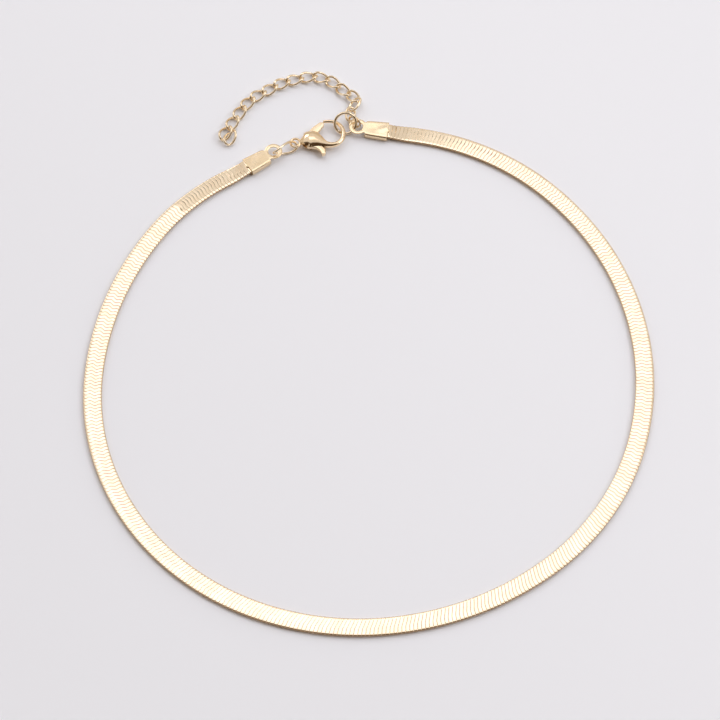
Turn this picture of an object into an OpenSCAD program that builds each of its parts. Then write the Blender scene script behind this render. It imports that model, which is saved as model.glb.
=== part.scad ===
/* [Band] */
// Width of the flat snake band
band_w = 4; // [3.6:0.1:4.2]
// Thickness of the flat snake band
band_t = 0.9; // [0.75:0.05:0.95]
// Bevel along the band's edges
band_edge = 0.26; // [0.15:0.01:0.3]
// Width of the band where it is pinched into an end cap
band_pinch_w = 3.6; // [3.4:0.05:3.7]
// Length of the stretch that rises and narrows into each end cap
lead = 5; // [4.5:0.1:5.5]
// Gap between a piece and what it is fitted to
fit_gap = 0.05; // [0.03:0.01:0.08]

/* [End caps] */
// Length of the folded plate
cap_len = 5; // [4.6:0.1:5.4]
// Width of the plate at its open end
cap_w = 4.4; // [4.3:0.05:4.7]
// Width of the plate at the lug
cap_lug_w = 3.9; // [3.7:0.05:4.1]
// Thickness of the sheet
cap_sheet = 0.25; // [0.22:0.01:0.27]
// Width of the slit between the two flaps folded underneath
flap_slit = 1.2; // [0.8:0.1:1.6]
// Radius of the small tongue at the open end
tongue_r = 0.45; // [0.3:0.05:0.6]
// Radius of the round lug
lug_r = 2.05; // [1.95:0.05:2.1]
// Radius of the hole in the lug
lug_hole_r = 1.1; // [1.05:0.05:1.15]
// Distance from the open end to the middle of the hole
lug_at = 6.7; // [6.6:0.05:6.8]

/* [Clasp] */
// Angle of the clasp on the table
clasp_turn = 12; // [11:0.5:13]
// Height of the clasp's middle plane above the table
clasp_z = 1.32; // [1.32:0.01:1.36]
// Middle radius of the eye
eye_r = 1.05; // [1.02:0.01:1.06]
// Radius of the eye's wire
eye_wire_r = 0.28; // [0.25:0.01:0.29]
// Thickness of the lever
lever_t = 1; // [0.8:0.05:1.1]
// Clearance on each side of the lever in its slot
slot_gap = 0.1; // [0.08:0.01:0.12]
// Radius of the lever's pin
pin_r = 0.35; // [0.3:0.01:0.4]
// Length of the lever's pin
pin_len = 2.1; // [1.9:0.1:2.2]

/* [Rings and links] */
// Middle radius of the jump ring
ring_r = 2.35; // [2.33:0.01:2.37]
// Radius of the jump ring's wire
ring_wire_r = 0.33; // [0.3:0.01:0.34]
// Radius of the wire of the small links
link_wire_r = 0.28; // [0.24:0.01:0.28]
// Half the middle length of a curb link
link_a = 1.9; // [1.88:0.01:1.92]
// Half the middle width of a curb link
link_b = 1.16; // [1.12:0.01:1.18]
// Twist of a curb link from its middle to each end
link_twist = -48; // [-52:1:-45]

/* [Hidden] */
// The band's way round the neck, from the left lead's foot: [x, y, heading]
START = [-30.73, 41.07, 210];
// The arcs that follow, all to the left: radius and turn
ROUTE = [[47.6, 25], [69, 31], [55, 75], [59, 25], [64, 33], [55, 36], [63, 60], [54, 37]];
// Turn of each lead towards its cap, left and right
LEAD_BENDS = [3.5, 0];
// Largest turn between two cross-sections of the band
ARC_STEP = 2.5;
ROUND_FN = 48;

// Height of the band's underside inside a cap, and of the cap's top
cap_floor = cap_sheet + fit_gap;
cap_h = 2 * cap_sheet + 2 * fit_gap + band_t;

band_in_cap = 3.6;
lug_neck_w = 3.2;

// A place on the table is [x, y, heading]
function ahead(place, d) = [place[0] + d * cos(place[2]), place[1] + d * sin(place[2]), place[2]];
function left_of(place, d) = [place[0] - d * sin(place[2]), place[1] + d * cos(place[2]), place[2]];
function turned(place, angle) = [place[0], place[1], place[2] + angle];
// The place at the end of an arc that bends to the left
function after_arc(place, arc) = left_of(turned(left_of(place, arc[0]), arc[1]), -arc[0]);
function route_place(i) = i == 0 ? START : after_arc(route_place(i - 1), ROUTE[i - 1]);
// The place at distance d along a stretch that bends evenly, by the given turn over the lead
function along_lead(place, bend, d) =
    bend == 0 ? ahead(place, d) : after_arc(place, [lead / bend * 180 / PI, bend * d / lead]);

last_place = route_place(len(ROUTE));
cap_left_place = along_lead(turned(START, 180), LEAD_BENDS[0], lead);
cap_right_place = along_lead(last_place, LEAD_BENDS[1], lead);

// Clasp, in its own frame: eye at the origin, hook end along +X, gate on the +Y side
EYE_AT = [-16.10, 49.67];
PIN_AT = [3.45, 0.35];
// Middle line of the neck, bulb and hook: [x, y, half width, half thickness]
SPINE = [
    [1.00, 0.03, 0.42, 0.40],
    [1.42, 0.00, 0.88, 0.64],
    [2.10, -0.12, 1.56, 0.98],
    [2.95, -0.10, 2.14, 1.22],
    [3.90, -0.22, 2.26, 1.32],
    [4.90, -0.74, 1.84, 1.23],
    [5.80, -1.42, 1.20, 1.02],
    [6.75, -1.93, 0.76, 0.80],
    [7.90, -2.20, 0.60, 0.64],
    [9.10, -2.05, 0.55, 0.55],
    [10.15, -1.30, 0.52, 0.52],
    [10.75, -0.20, 0.50, 0.48],
    [10.90, 1.10, 0.47, 0.45],
    [10.60, 2.30, 0.44, 0.42],
    [9.95, 3.20, 0.42, 0.40],
    [9.05, 3.75, 0.40, 0.39],
    [8.05, 4.00, 0.38, 0.38],
    [7.30, 4.08, 0.34, 0.34],
    [7.05, 4.09, 0.20, 0.20],
];
SPINE_SIDES = 12;
SPINE_STEPS = 3;
// Sectors of the slot about the pin: [from angle, to angle, reach]
SLOT_SECTORS = [[-10, 114, 4.2], [-144, -45, 4.2], [-172, -45, 1.8]];
HUB_R = 1.05;
// Round root of the lever's tail, which closes the slot behind it
ROOT = [-146, -50, 1.7];
// Outline of the lever about the clasp's frame: gate arm, then tail and thumb tab
GATE = [[2.75, 0.85], [3.62, 2.20], [4.60, 2.93], [6.28, 3.72], [6.62, 3.68], [6.98, 3.36], [7.06, 3.02], [5.30, 1.38],
        [4.25, 0.45]];
TAB = [[2.95, -0.50], [2.66, -1.45], [2.60, -1.84], [2.90, -2.00], [3.60, -2.24], [4.17, -2.64], [4.62, -3.38],
       [4.86, -3.95], [5.15, -4.22], [5.55, -4.25], [5.85, -4.02], [6.02, -3.45], [5.95, -2.80], [5.15, -1.60],
       [4.10, -0.50]];

// Oval link between the left lug and the eye: [x, y, z, yaw, pitch, roll], half length and half width
CLASP_LINK = [-18.24, 47.98, 1.62, 29.5, -13.7, -106.3];
CLASP_LINK_SIZE = [2.94, 1.34];
CLASP_LINK_TWIST = -44.1;

// Jump ring: middle, tilt about X, tilt about Y
RING_AT = [-5.11, 54.30, 2.02];
RING_TILT = [45, 10];

LINK_SIDES = 6;
LINK_STATIONS = 14;
// The first links are plain ovals, which stand or lean; the rest lie flat and are twisted
PLAIN_SIZES = [[1.6, 1], [1.8, 1.05], [1.83, 1.18]];
// Extender links from the right lug to the free end: [x, y, z, yaw, pitch, roll]
LINKS = [
    [-3.10, 55.29, 1.16, 140.5, -13.3, 125.3],
    [-4.00, 57.27, 1.07, 81.9, 0.1, 24.6],
    [-3.07, 59.79, 1.15, 59.0, 7.2, -32.7],
    [-3.34, 61.86, 0.92, 131.4, -6.3, 2.3],
    [-5.58, 63.74, 0.74, 139.1, 0.4, -0.4],
    [-7.84, 65.76, 0.74, 142.1, -0.5, 0.2],
    [-10.47, 67.08, 0.74, 161.5, -0.5, 0.1],
    [-13.36, 67.33, 0.75, 189.4, -0.6, -0.2],
    [-16.33, 66.63, 0.74, 194.9, 0.1, 0.1],
    [-19.21, 65.68, 0.75, 204.8, -0.5, -0.5],
    [-21.87, 64.15, 0.75, 214.4, -0.2, -0.2],
    [-24.44, 62.55, 0.74, 213.8, 0.0, -0.1],
    [-26.70, 60.54, 0.74, 229.2, -0.6, -0.1],
    [-28.47, 58.03, 0.75, 240.3, -0.4, -1.4],
    [-30.00, 55.35, 0.74, 240.4, 0.1, -1.3],
    [-31.52, 52.65, 0.75, 241.1, 0.0, -1.2],
    [-30.46, 51.43, 0.81, 245.2, 1.2, 5.4],
];

// Draws in the frame of a place on the table
module at_place(place) {
    translate([place[0], place[1], 0]) rotate([0, 0, place[2]]) children();
}

// Faces of a tube of rings, each a list of points round its middle line, first to last
function tube_faces(rings, sides, closed) =
    let (last = closed ? rings - 1 : rings - 2)
    [for (r = [0 : last], s = [0 : sides - 1])
        let (next = ((r + 1) % rings) * sides, t = (s + 1) % sides)
        each [[r * sides + s, next + t, r * sides + t], [r * sides + s, next + s, next + t]]];
// Faces that close the tube's two ends
function end_faces(rings, sides) =
    [[for (s = [0 : sides - 1]) s], [for (s = [sides - 1 : -1 : 0]) (rings - 1) * sides + s]];

// The band's middle line along its underside: [x, y, z, heading, slope, width]
LEAD_STEPS = 5;
function eased(t) = t * t * (3 - 2 * t);
// Rows of the lead and of the end in the cap, outwards from the lead's foot
function lead_rows(foot, bend) = concat(
    [for (k = [0 : LEAD_STEPS])
        let (t = k / LEAD_STEPS, place = along_lead(foot, bend, t * lead))
        [place[0], place[1], cap_floor * eased(t), place[2], atan(cap_floor * 6 * t * (1 - t) / lead),
         band_w + (band_pinch_w - band_w) * eased(t)]],
    [let (place = ahead(along_lead(foot, bend, lead), band_in_cap))
        [place[0], place[1], cap_floor, place[2], 0, band_pinch_w]]);
function arc_rows(i) =
    let (steps = ceil(ROUTE[i][1] / ARC_STEP), last = i == len(ROUTE) - 1 ? steps - 1 : steps)
    [for (k = [1 : last])
        let (place = after_arc(route_place(i), [ROUTE[i][0], ROUTE[i][1] * k / steps]))
        [place[0], place[1], 0, place[2], 0, band_w]];
left_rows = lead_rows(turned(START, 180), LEAD_BENDS[0]);
BAND_ROWS = concat(
    [for (k = [len(left_rows) - 1 : -1 : 0])
        let (r = left_rows[k]) [r[0], r[1], r[2], r[3] - 180, -r[4], r[5]]],
    [for (i = [0 : len(ROUTE) - 1]) each arc_rows(i)],
    lead_rows(last_place, LEAD_BENDS[1]));

// Cross-section of the band, across and up
function band_outline(w) = [
    [w / 2, band_edge], [w / 2, band_t - band_edge], [w / 2 - band_edge, band_t], [band_edge - w / 2, band_t],
    [-w / 2, band_t - band_edge], [-w / 2, band_edge], [band_edge - w / 2, 0], [w / 2 - band_edge, 0]];
BAND_SIDES = len(band_outline(band_w));

function band_ring(row) =
    let (across = [-sin(row[3]), cos(row[3]), 0],
         up = [-sin(row[4]) * cos(row[3]), -sin(row[4]) * sin(row[3]), cos(row[4])])
    [for (p = band_outline(row[5])) [row[0], row[1], row[2]] + p[0] * across + p[1] * up];

module flat_chain() {
    color("gold") polyhedron(points = [for (row = BAND_ROWS) each band_ring(row)],
        faces = concat(tube_faces(len(BAND_ROWS), BAND_SIDES, false), end_faces(len(BAND_ROWS), BAND_SIDES)));
}

// Folded end cap: open end at the origin, lug towards +X
module end_cap() {
    color("goldenrod") difference() {
        union() {
            linear_extrude(cap_h) polygon([
                [0, -cap_w / 2], [cap_len, -cap_lug_w / 2], [cap_len, cap_lug_w / 2], [0, cap_w / 2]]);
            translate([cap_len / 2, -lug_neck_w / 2, cap_h - cap_sheet])
                cube([lug_at - cap_len / 2, lug_neck_w, cap_sheet]);
            translate([lug_at, 0, cap_h - cap_sheet]) cylinder(h = cap_sheet, r = lug_r, $fn = ROUND_FN);
            translate([0, 0, cap_h - cap_sheet]) cylinder(h = cap_sheet, r = tongue_r, $fn = ROUND_FN);
        }
        translate([-1, -band_pinch_w / 2 - fit_gap, cap_sheet])
            cube([1 + band_in_cap + fit_gap, band_pinch_w + 2 * fit_gap, band_t + 2 * fit_gap]);
        translate([-1, -flap_slit / 2, -1]) cube([1 + band_in_cap, flap_slit, 1.5]);
        translate([lug_at, 0, 0]) cylinder(h = cap_h + 1, r = lug_hole_r, $fn = ROUND_FN);
    }
}

module crimp_left() {
    at_place(cap_left_place) end_cap();
}

module crimp_right() {
    at_place(cap_right_place) end_cap();
}

// Smooth curve through the rows of a table, at row number u
function table_row(table, i) = table[max(0, min(len(table) - 1, i))];
function curve_at(table, u) =
    let (i = floor(u), t = u - i,
         a = table_row(table, i - 1), b = table_row(table, i), c = table_row(table, i + 1), d = table_row(table, i + 2))
    b + 0.5 * t * ((c - a) + t * ((2 * a - 5 * b + 4 * c - d) + t * (3 * (b - c) + d - a)));
function unit(v) = v / norm(v);

SPINE_RINGS = (len(SPINE) - 1) * SPINE_STEPS + 1;
function spine_ring(k) =
    let (u = k / SPINE_STEPS, row = curve_at(SPINE, u), before = curve_at(SPINE, max(0, u - 0.1)),
         after = curve_at(SPINE, min(len(SPINE) - 1, u + 0.1)),
         along = unit([after[0] - before[0], after[1] - before[1]]), across = [-along[1], along[0]])
    [for (s = [0 : SPINE_SIDES - 1])
        let (angle = (s + 0.5) * 360 / SPINE_SIDES, w = row[2] * cos(angle), h = row[3] * sin(angle))
        [row[0] + across[0] * w, row[1] + across[1] * w, h]];

// Draws in the clasp's own frame
module in_clasp() {
    translate([EYE_AT[0], EYE_AT[1], clasp_z]) rotate([0, 0, clasp_turn]) children();
}

// Flat sector about the origin, given as [from angle, to angle, reach]
module flat_sector(sector, thickness) {
    steps = ceil((sector[1] - sector[0]) / 12);
    linear_extrude(thickness, center = true) polygon(concat([[0, 0]],
        [for (i = [0 : steps]) let (a = sector[0] + (sector[1] - sector[0]) * i / steps)
            sector[2] * [cos(a), sin(a)]]));
}

module clasp_body() {
    color("gold") in_clasp() {
        rotate_extrude($fn = ROUND_FN) translate([eye_r, 0]) circle(r = eye_wire_r, $fn = 24);
        difference() {
            polyhedron(points = [for (k = [0 : SPINE_RINGS - 1]) each spine_ring(k)],
                faces = concat(tube_faces(SPINE_RINGS, SPINE_SIDES, false), end_faces(SPINE_RINGS, SPINE_SIDES)));
            translate([PIN_AT[0], PIN_AT[1], 0]) {
                for (sector = SLOT_SECTORS) flat_sector(sector, lever_t + 2 * slot_gap);
                cylinder(h = lever_t + 2 * slot_gap, r = HUB_R + slot_gap, center = true, $fn = ROUND_FN);
                cylinder(h = pin_len + 2 * fit_gap, r = pin_r + fit_gap, center = true, $fn = ROUND_FN);
            }
        }
    }
}

module clasp_lever() {
    color("goldenrod") in_clasp() difference() {
        union() {
            linear_extrude(lever_t, center = true) polygon(GATE);
            linear_extrude(lever_t, center = true) polygon(TAB);
            translate([PIN_AT[0], PIN_AT[1], 0]) {
                cylinder(h = lever_t, r = HUB_R, center = true, $fn = ROUND_FN);
                flat_sector(ROOT, lever_t);
            }
        }
        translate([PIN_AT[0], PIN_AT[1], 0])
            cylinder(h = 2 * lever_t, r = pin_r + fit_gap, center = true, $fn = ROUND_FN);
    }
}

module clasp_pin() {
    color("silver") in_clasp() translate([PIN_AT[0], PIN_AT[1], 0])
        cylinder(h = pin_len, r = pin_r, center = true, $fn = ROUND_FN);
}

// Oval wire link along X; its ends are twisted opposite ways about X. Below 1 the power makes it fuller at the ends
OVAL_POWER = 0.9;
function fuller(v) = sign(v) * pow(abs(v), OVAL_POWER);
function oval_at(size, twist, angle) =
    let (x = size[0] * fuller(cos(angle)), w = size[1] * fuller(sin(angle)), turn = twist * cos(angle))
    [x, w * cos(turn), w * sin(turn)];
function oval_ring(size, twist, wire_r, k) =
    let (angle = k * 360 / LINK_STATIONS, p = oval_at(size, twist, angle),
         along = unit(oval_at(size, twist, angle + 1) - oval_at(size, twist, angle - 1)),
         out = unit(p - (p * along) * along), up = cross(along, out))
    [for (s = [0 : LINK_SIDES - 1])
        let (a = (s + 0.5) * 360 / LINK_SIDES) p + wire_r * (cos(a) * out + sin(a) * up)];

module oval_link(size, twist, wire_r) {
    polyhedron(points = [for (k = [0 : LINK_STATIONS - 1]) each oval_ring(size, twist, wire_r, k)],
        faces = tube_faces(LINK_STATIONS, LINK_SIDES, true));
}

// Draws in a frame given as [x, y, z, yaw, pitch, roll]
module at_pose(pose) {
    translate([pose[0], pose[1], pose[2]]) rotate([0, 0, pose[3]]) rotate([0, -pose[4], 0])
        rotate([pose[5], 0, 0]) children();
}

module clasp_link() {
    color("gold") at_pose(CLASP_LINK) oval_link(CLASP_LINK_SIZE, CLASP_LINK_TWIST, link_wire_r);
}

module jump_ring() {
    color("gold") translate(RING_AT) rotate([0, RING_TILT[1], 0]) rotate([RING_TILT[0], 0, 0])
        rotate_extrude($fn = ROUND_FN) translate([ring_r, 0]) circle(r = ring_wire_r, $fn = 24);
}

module extender_link(i) {
    plain = i < len(PLAIN_SIZES);
    color("gold") at_pose(LINKS[i])
        oval_link(plain ? PLAIN_SIZES[i] : [link_a, link_b], plain ? 0 : link_twist, link_wire_r);
}

function link_name(i) = str("extender_link_", i < 9 ? "0" : "", i + 1);

flat_chain();
crimp_left();
crimp_right();
clasp_link();
clasp_body();
clasp_lever();
clasp_pin();
jump_ring();
for (i = [0 : len(LINKS) - 1])
    extender_link(i);
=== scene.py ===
"""Flat snake chain necklace: meshes, gold finishes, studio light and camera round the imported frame."""
import logging
import math
from dataclasses import dataclass, field
from enum import Enum
from typing import ClassVar

import bmesh
import bpy
from mathutils import Matrix, Vector


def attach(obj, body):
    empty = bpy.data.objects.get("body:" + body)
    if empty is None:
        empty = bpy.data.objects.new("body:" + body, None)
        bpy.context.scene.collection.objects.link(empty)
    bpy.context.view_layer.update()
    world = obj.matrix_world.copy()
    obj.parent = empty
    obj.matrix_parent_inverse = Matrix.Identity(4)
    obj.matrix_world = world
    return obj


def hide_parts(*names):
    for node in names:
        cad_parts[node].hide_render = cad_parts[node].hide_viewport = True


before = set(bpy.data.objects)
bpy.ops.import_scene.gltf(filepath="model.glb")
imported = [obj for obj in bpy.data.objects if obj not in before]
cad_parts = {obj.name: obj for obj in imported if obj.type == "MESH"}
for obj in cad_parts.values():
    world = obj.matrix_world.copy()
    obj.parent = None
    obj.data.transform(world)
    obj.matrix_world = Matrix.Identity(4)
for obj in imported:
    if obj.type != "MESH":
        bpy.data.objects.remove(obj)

LOG = logging.getLogger("necklace")
MM = 0.001
FULL_TURN = 2 * math.pi

Colour = tuple[float, float, float]
Span = tuple[float, float]
Rows = tuple[tuple[float, ...], ...]
Socket = bpy.types.NodeSocket


class Slot(Enum):
    """Material slots of the record that the pieces take their finish from."""

    BAND = "band"
    PLATE = "plate"
    CAST = "cast"
    LEVER = "lever"
    WIRE = "wire"
    PIN = "pin"


class Body(Enum):
    """Rigid bodies of the frame."""

    NECKLACE = "necklace"
    LEVER = "lever"


def eased(t: float) -> float:
    """Smooth step from 0 to 1."""
    t = min(1.0, max(0.0, t))
    return t * t * (3 - 2 * t)


def mixed(a: float, b: float, t: float) -> float:
    """Value between a and b."""
    return a + (b - a) * t


def table_at(rows: Rows, where: float) -> list[float]:
    """Reads a table whose rows start with their place.

    Args:
        rows: rows of place and values, in order of place.
        where: the place to read at.

    Returns:
        The values there, eased between the rows on both sides.
    """
    if where <= rows[0][0]:
        return list(rows[0][1:])
    for low, high in zip(rows, rows[1:]):
        if where <= high[0]:
            t = eased((where - low[0]) / (high[0] - low[0]))
            return [mixed(a, b, t) for a, b in zip(low[1:], high[1:])]
    return list(rows[-1][1:])


def curve_through(points: Rows, u: float) -> Vector:
    """Reads a smooth curve that passes through every row.

    Args:
        points: the rows.
        u: row number to read at; a fraction lies between two rows.

    Returns:
        The row there.
    """
    i = math.floor(u)
    t = u - i
    a, b, c, d = (Vector(points[max(0, min(len(points) - 1, i + k))]) for k in (-1, 0, 1, 2))
    return b + 0.5 * t * ((c - a) + t * ((2 * a - 5 * b + 4 * c - d) + t * (3 * (b - c) + d - a)))


class Nodes:
    """Short hand for building a node tree.

    Attributes:
        MIX_INPUTS: places of the two colours among the inputs of a Mix node.
        MIX_OUTPUT: place of the mixed colour among its outputs.
        tree: the tree.
    """

    MIX_INPUTS: tuple[int, int] = (6, 7)
    MIX_OUTPUT: int = 2

    def __init__(self, tree: bpy.types.NodeTree) -> None:
        """Keeps the tree."""
        self.tree = tree

    def feed(self, socket: Socket, value: object) -> None:
        """Gives an input its value.

        Args:
            socket: the input.
            value: a socket to join to it, or its own value.
        """
        if isinstance(value, Socket):
            self.link(value, socket)
        else:
            socket.default_value = value

    def add(self, kind: str, **values: object) -> bpy.types.Node:
        """Adds a node.

        Args:
            kind: the node's type name without its prefix ShaderNode.
            values: attributes of the node, or inputs by name with spaces as underscores.

        Returns:
            The node.
        """
        node = self.tree.nodes.new("ShaderNode" + kind)
        for name, value in values.items():
            if hasattr(node, name):
                setattr(node, name, value)
            else:
                self.feed(node.inputs[name.replace("_", " ")], value)
        return node

    def math(self, operation: str, *values: object) -> Socket:
        """Adds a Math node.

        Args:
            operation: what it works out.
            values: its inputs in order, each a socket or a number.

        Returns:
            Its output.
        """
        node = self.add("Math", operation=operation)
        for socket, value in zip(node.inputs, values):
            self.feed(socket, value)
        return node.outputs[0]

    def smooth_range(self, value: Socket, low: object, high: object,
                     onto: tuple[object, object] = (0.0, 1.0)) -> Socket:
        """Adds a smooth Map Range.

        Args:
            value: what is mapped.
            low: value that gives the first end; a socket or a number.
            high: value that gives the second end; a socket or a number.
            onto: the two ends, each a socket or a number.

        Returns:
            Its output.
        """
        return self.add("MapRange", interpolation_type="SMOOTHSTEP", Value=value, From_Min=low, From_Max=high,
                        To_Min=onto[0], To_Max=onto[1]).outputs["Result"]

    def mix(self, share: Socket, first: object, second: object) -> Socket:
        """Adds a Mix node for colours.

        Args:
            share: share of the second colour.
            first: a socket or a colour.
            second: a socket or a colour.

        Returns:
            Its output.
        """
        node = self.add("Mix", data_type="RGBA", Factor=share)
        for number, colour in zip(self.MIX_INPUTS, (first, second)):
            self.feed(node.inputs[number], colour if isinstance(colour, Socket) else (*colour, 1))
        return node.outputs[self.MIX_OUTPUT]

    def link(self, source: Socket, target: Socket) -> None:
        """Joins two sockets."""
        self.tree.links.new(source, target)


def new_group(name: str, inputs: dict[str, tuple[str, object]], outputs: dict[str, str]) -> tuple:
    """Makes an empty shader node group.

    Args:
        name: name of the group.
        inputs: socket kind and default value by socket name.
        outputs: socket kind by socket name.

    Returns:
        The group, its Nodes, and its input and output nodes.
    """
    group = bpy.data.node_groups.new(name, "ShaderNodeTree")
    for label, (kind, value) in inputs.items():
        socket = group.interface.new_socket(label, in_out="INPUT", socket_type="NodeSocket" + kind)
        if value is not None:
            socket.default_value = value
    for label, kind in outputs.items():
        group.interface.new_socket(label, in_out="OUTPUT", socket_type="NodeSocket" + kind)
    nodes = Nodes(group)
    return group, nodes, group.nodes.new("NodeGroupInput"), group.nodes.new("NodeGroupOutput")


class SharedEffects:
    """Shader node groups that the finishes share, each built once.

    Attributes:
        CLOUD_ENDS: noise at which the tone is all deep, and all pale.
        STROKE_STRETCH: how the noise of the polishing strokes is drawn out.
        STROKE_SCALE: scale of that noise.
        STROKE_SHARE: share of the strokes in the grain.
        GRAIN_ENDS: grain at which the roughness is lowest, and highest.
        EDGE_ENDS: share of the half width where the painted shade on a long edge of the band starts, and where it is
            full.
        tone: the plating tone.
        grain: the satin grain.
        scales: the masks of the band's scales.
    """

    CLOUD_ENDS: Span = (0.35, 0.65)
    STROKE_STRETCH: tuple[float, float, float] = (0.35, 9.0, 0.35)
    STROKE_SCALE: float = 2.2
    STROKE_SHARE: float = 0.55
    GRAIN_ENDS: Span = (0.5, 1.05)
    EDGE_ENDS: Span = (0.93, 1.0)

    def __init__(self) -> None:
        """Builds the groups."""
        self.tone = self._tone()
        self.grain = self._grain()
        self.scales = self._scales()

    def _tone(self) -> bpy.types.NodeTree:
        """Plating tone: two golds that drift into each other in soft clouds, and go over into the dark colour by the
        Shade and tone share, which carries painted shade in the band's joints and on its edges, and a darker tone for
        some scales at random.

        Returns:
            The group.
        """
        group, nodes, given, out = new_group(
            "plating tone",
            {"Vector": ("Vector", None), "Clouds": ("Float", 0.4), "Deep": ("Color", (1, 1, 1, 1)),
             "Pale": ("Color", (1, 1, 1, 1)), "Shade and tone": ("Float", 0.0), "Dark": ("Color", (1, 1, 1, 1))},
            {"Color": "Color"})
        noise = nodes.add("TexNoise", Vector=given.outputs["Vector"], Scale=given.outputs["Clouds"],
                          Detail=3.0, Roughness=0.55)
        cloud = nodes.smooth_range(noise.outputs["Fac"], *self.CLOUD_ENDS)
        drift = nodes.mix(cloud, given.outputs["Deep"], given.outputs["Pale"])
        # painted shade: the tone goes over into the dark colour by the Shade and tone share
        nodes.link(nodes.mix(given.outputs["Shade and tone"], drift, given.outputs["Dark"]), out.inputs["Color"])
        return group

    def _grain(self) -> bpy.types.NodeTree:
        """Satin grain: fine tumbled pits over faint polishing strokes.

        Returns:
            The group.
        """
        group, nodes, given, out = new_group(
            "satin grain",
            {"Vector": ("Vector", None), "Grain": ("Float", 6.0), "Low": ("Float", 0.1), "High": ("Float", 0.2),
             "Turn": ("Float", 0.0)},
            {"Roughness": "Float", "Height": "Float"})
        fine = nodes.add("TexNoise", Vector=given.outputs["Vector"], Scale=given.outputs["Grain"],
                         Detail=2.0, Roughness=0.6)
        turned = nodes.add("VectorRotate", rotation_type="Z_AXIS", Vector=given.outputs["Vector"],
                           Angle=given.outputs["Turn"])
        stretched = nodes.add("Mapping", Vector=turned.outputs[0], Scale=self.STROKE_STRETCH)
        strokes = nodes.add("TexNoise", Vector=stretched.outputs[0], Scale=self.STROKE_SCALE, Detail=2.0)
        both = nodes.math("MULTIPLY_ADD", strokes.outputs["Fac"], self.STROKE_SHARE, fine.outputs["Fac"])
        ends = (given.outputs["Low"], given.outputs["High"])
        nodes.link(nodes.smooth_range(both, *self.GRAIN_ENDS, ends), out.inputs["Roughness"])
        nodes.link(both, out.inputs["Height"])
        return group

    def _scales(self) -> bpy.types.NodeTree:
        """Masks of the band's scales from their UV map.

        Returns:
            The group. Joint marks the joint between two scales, Each is a value of each scale, and Edge marks the
            band's long edges.
        """
        group, nodes, given, out = new_group(
            "scale masks", {"UV": ("Vector", None), "Joint": ("Float", 0.2)},
            {"Joint": "Float", "Each": "Float", "Edge": "Float"})
        parts = nodes.add("SeparateXYZ", Vector=given.outputs["UV"])
        whole = nodes.math("ROUND", parts.outputs["X"])
        within = nodes.math("ABSOLUTE", nodes.math("SUBTRACT", parts.outputs["X"], whole))
        flat = nodes.math("SUBTRACT", 0.5, given.outputs["Joint"])
        # Joint masks the joints between scales, where the finish paints shade into the colour
        nodes.link(nodes.smooth_range(within, flat, 0.5), out.inputs["Joint"])
        random = nodes.add("TexWhiteNoise", noise_dimensions="1D", W=whole)
        nodes.link(random.outputs["Value"], out.inputs["Each"])
        # Edge masks the band's long edges, where the finish paints shade into the colour
        edge = nodes.smooth_range(nodes.math("ABSOLUTE", parts.outputs["Y"]), *self.EDGE_ENDS)
        nodes.link(edge, out.inputs["Edge"])
        return group


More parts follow.
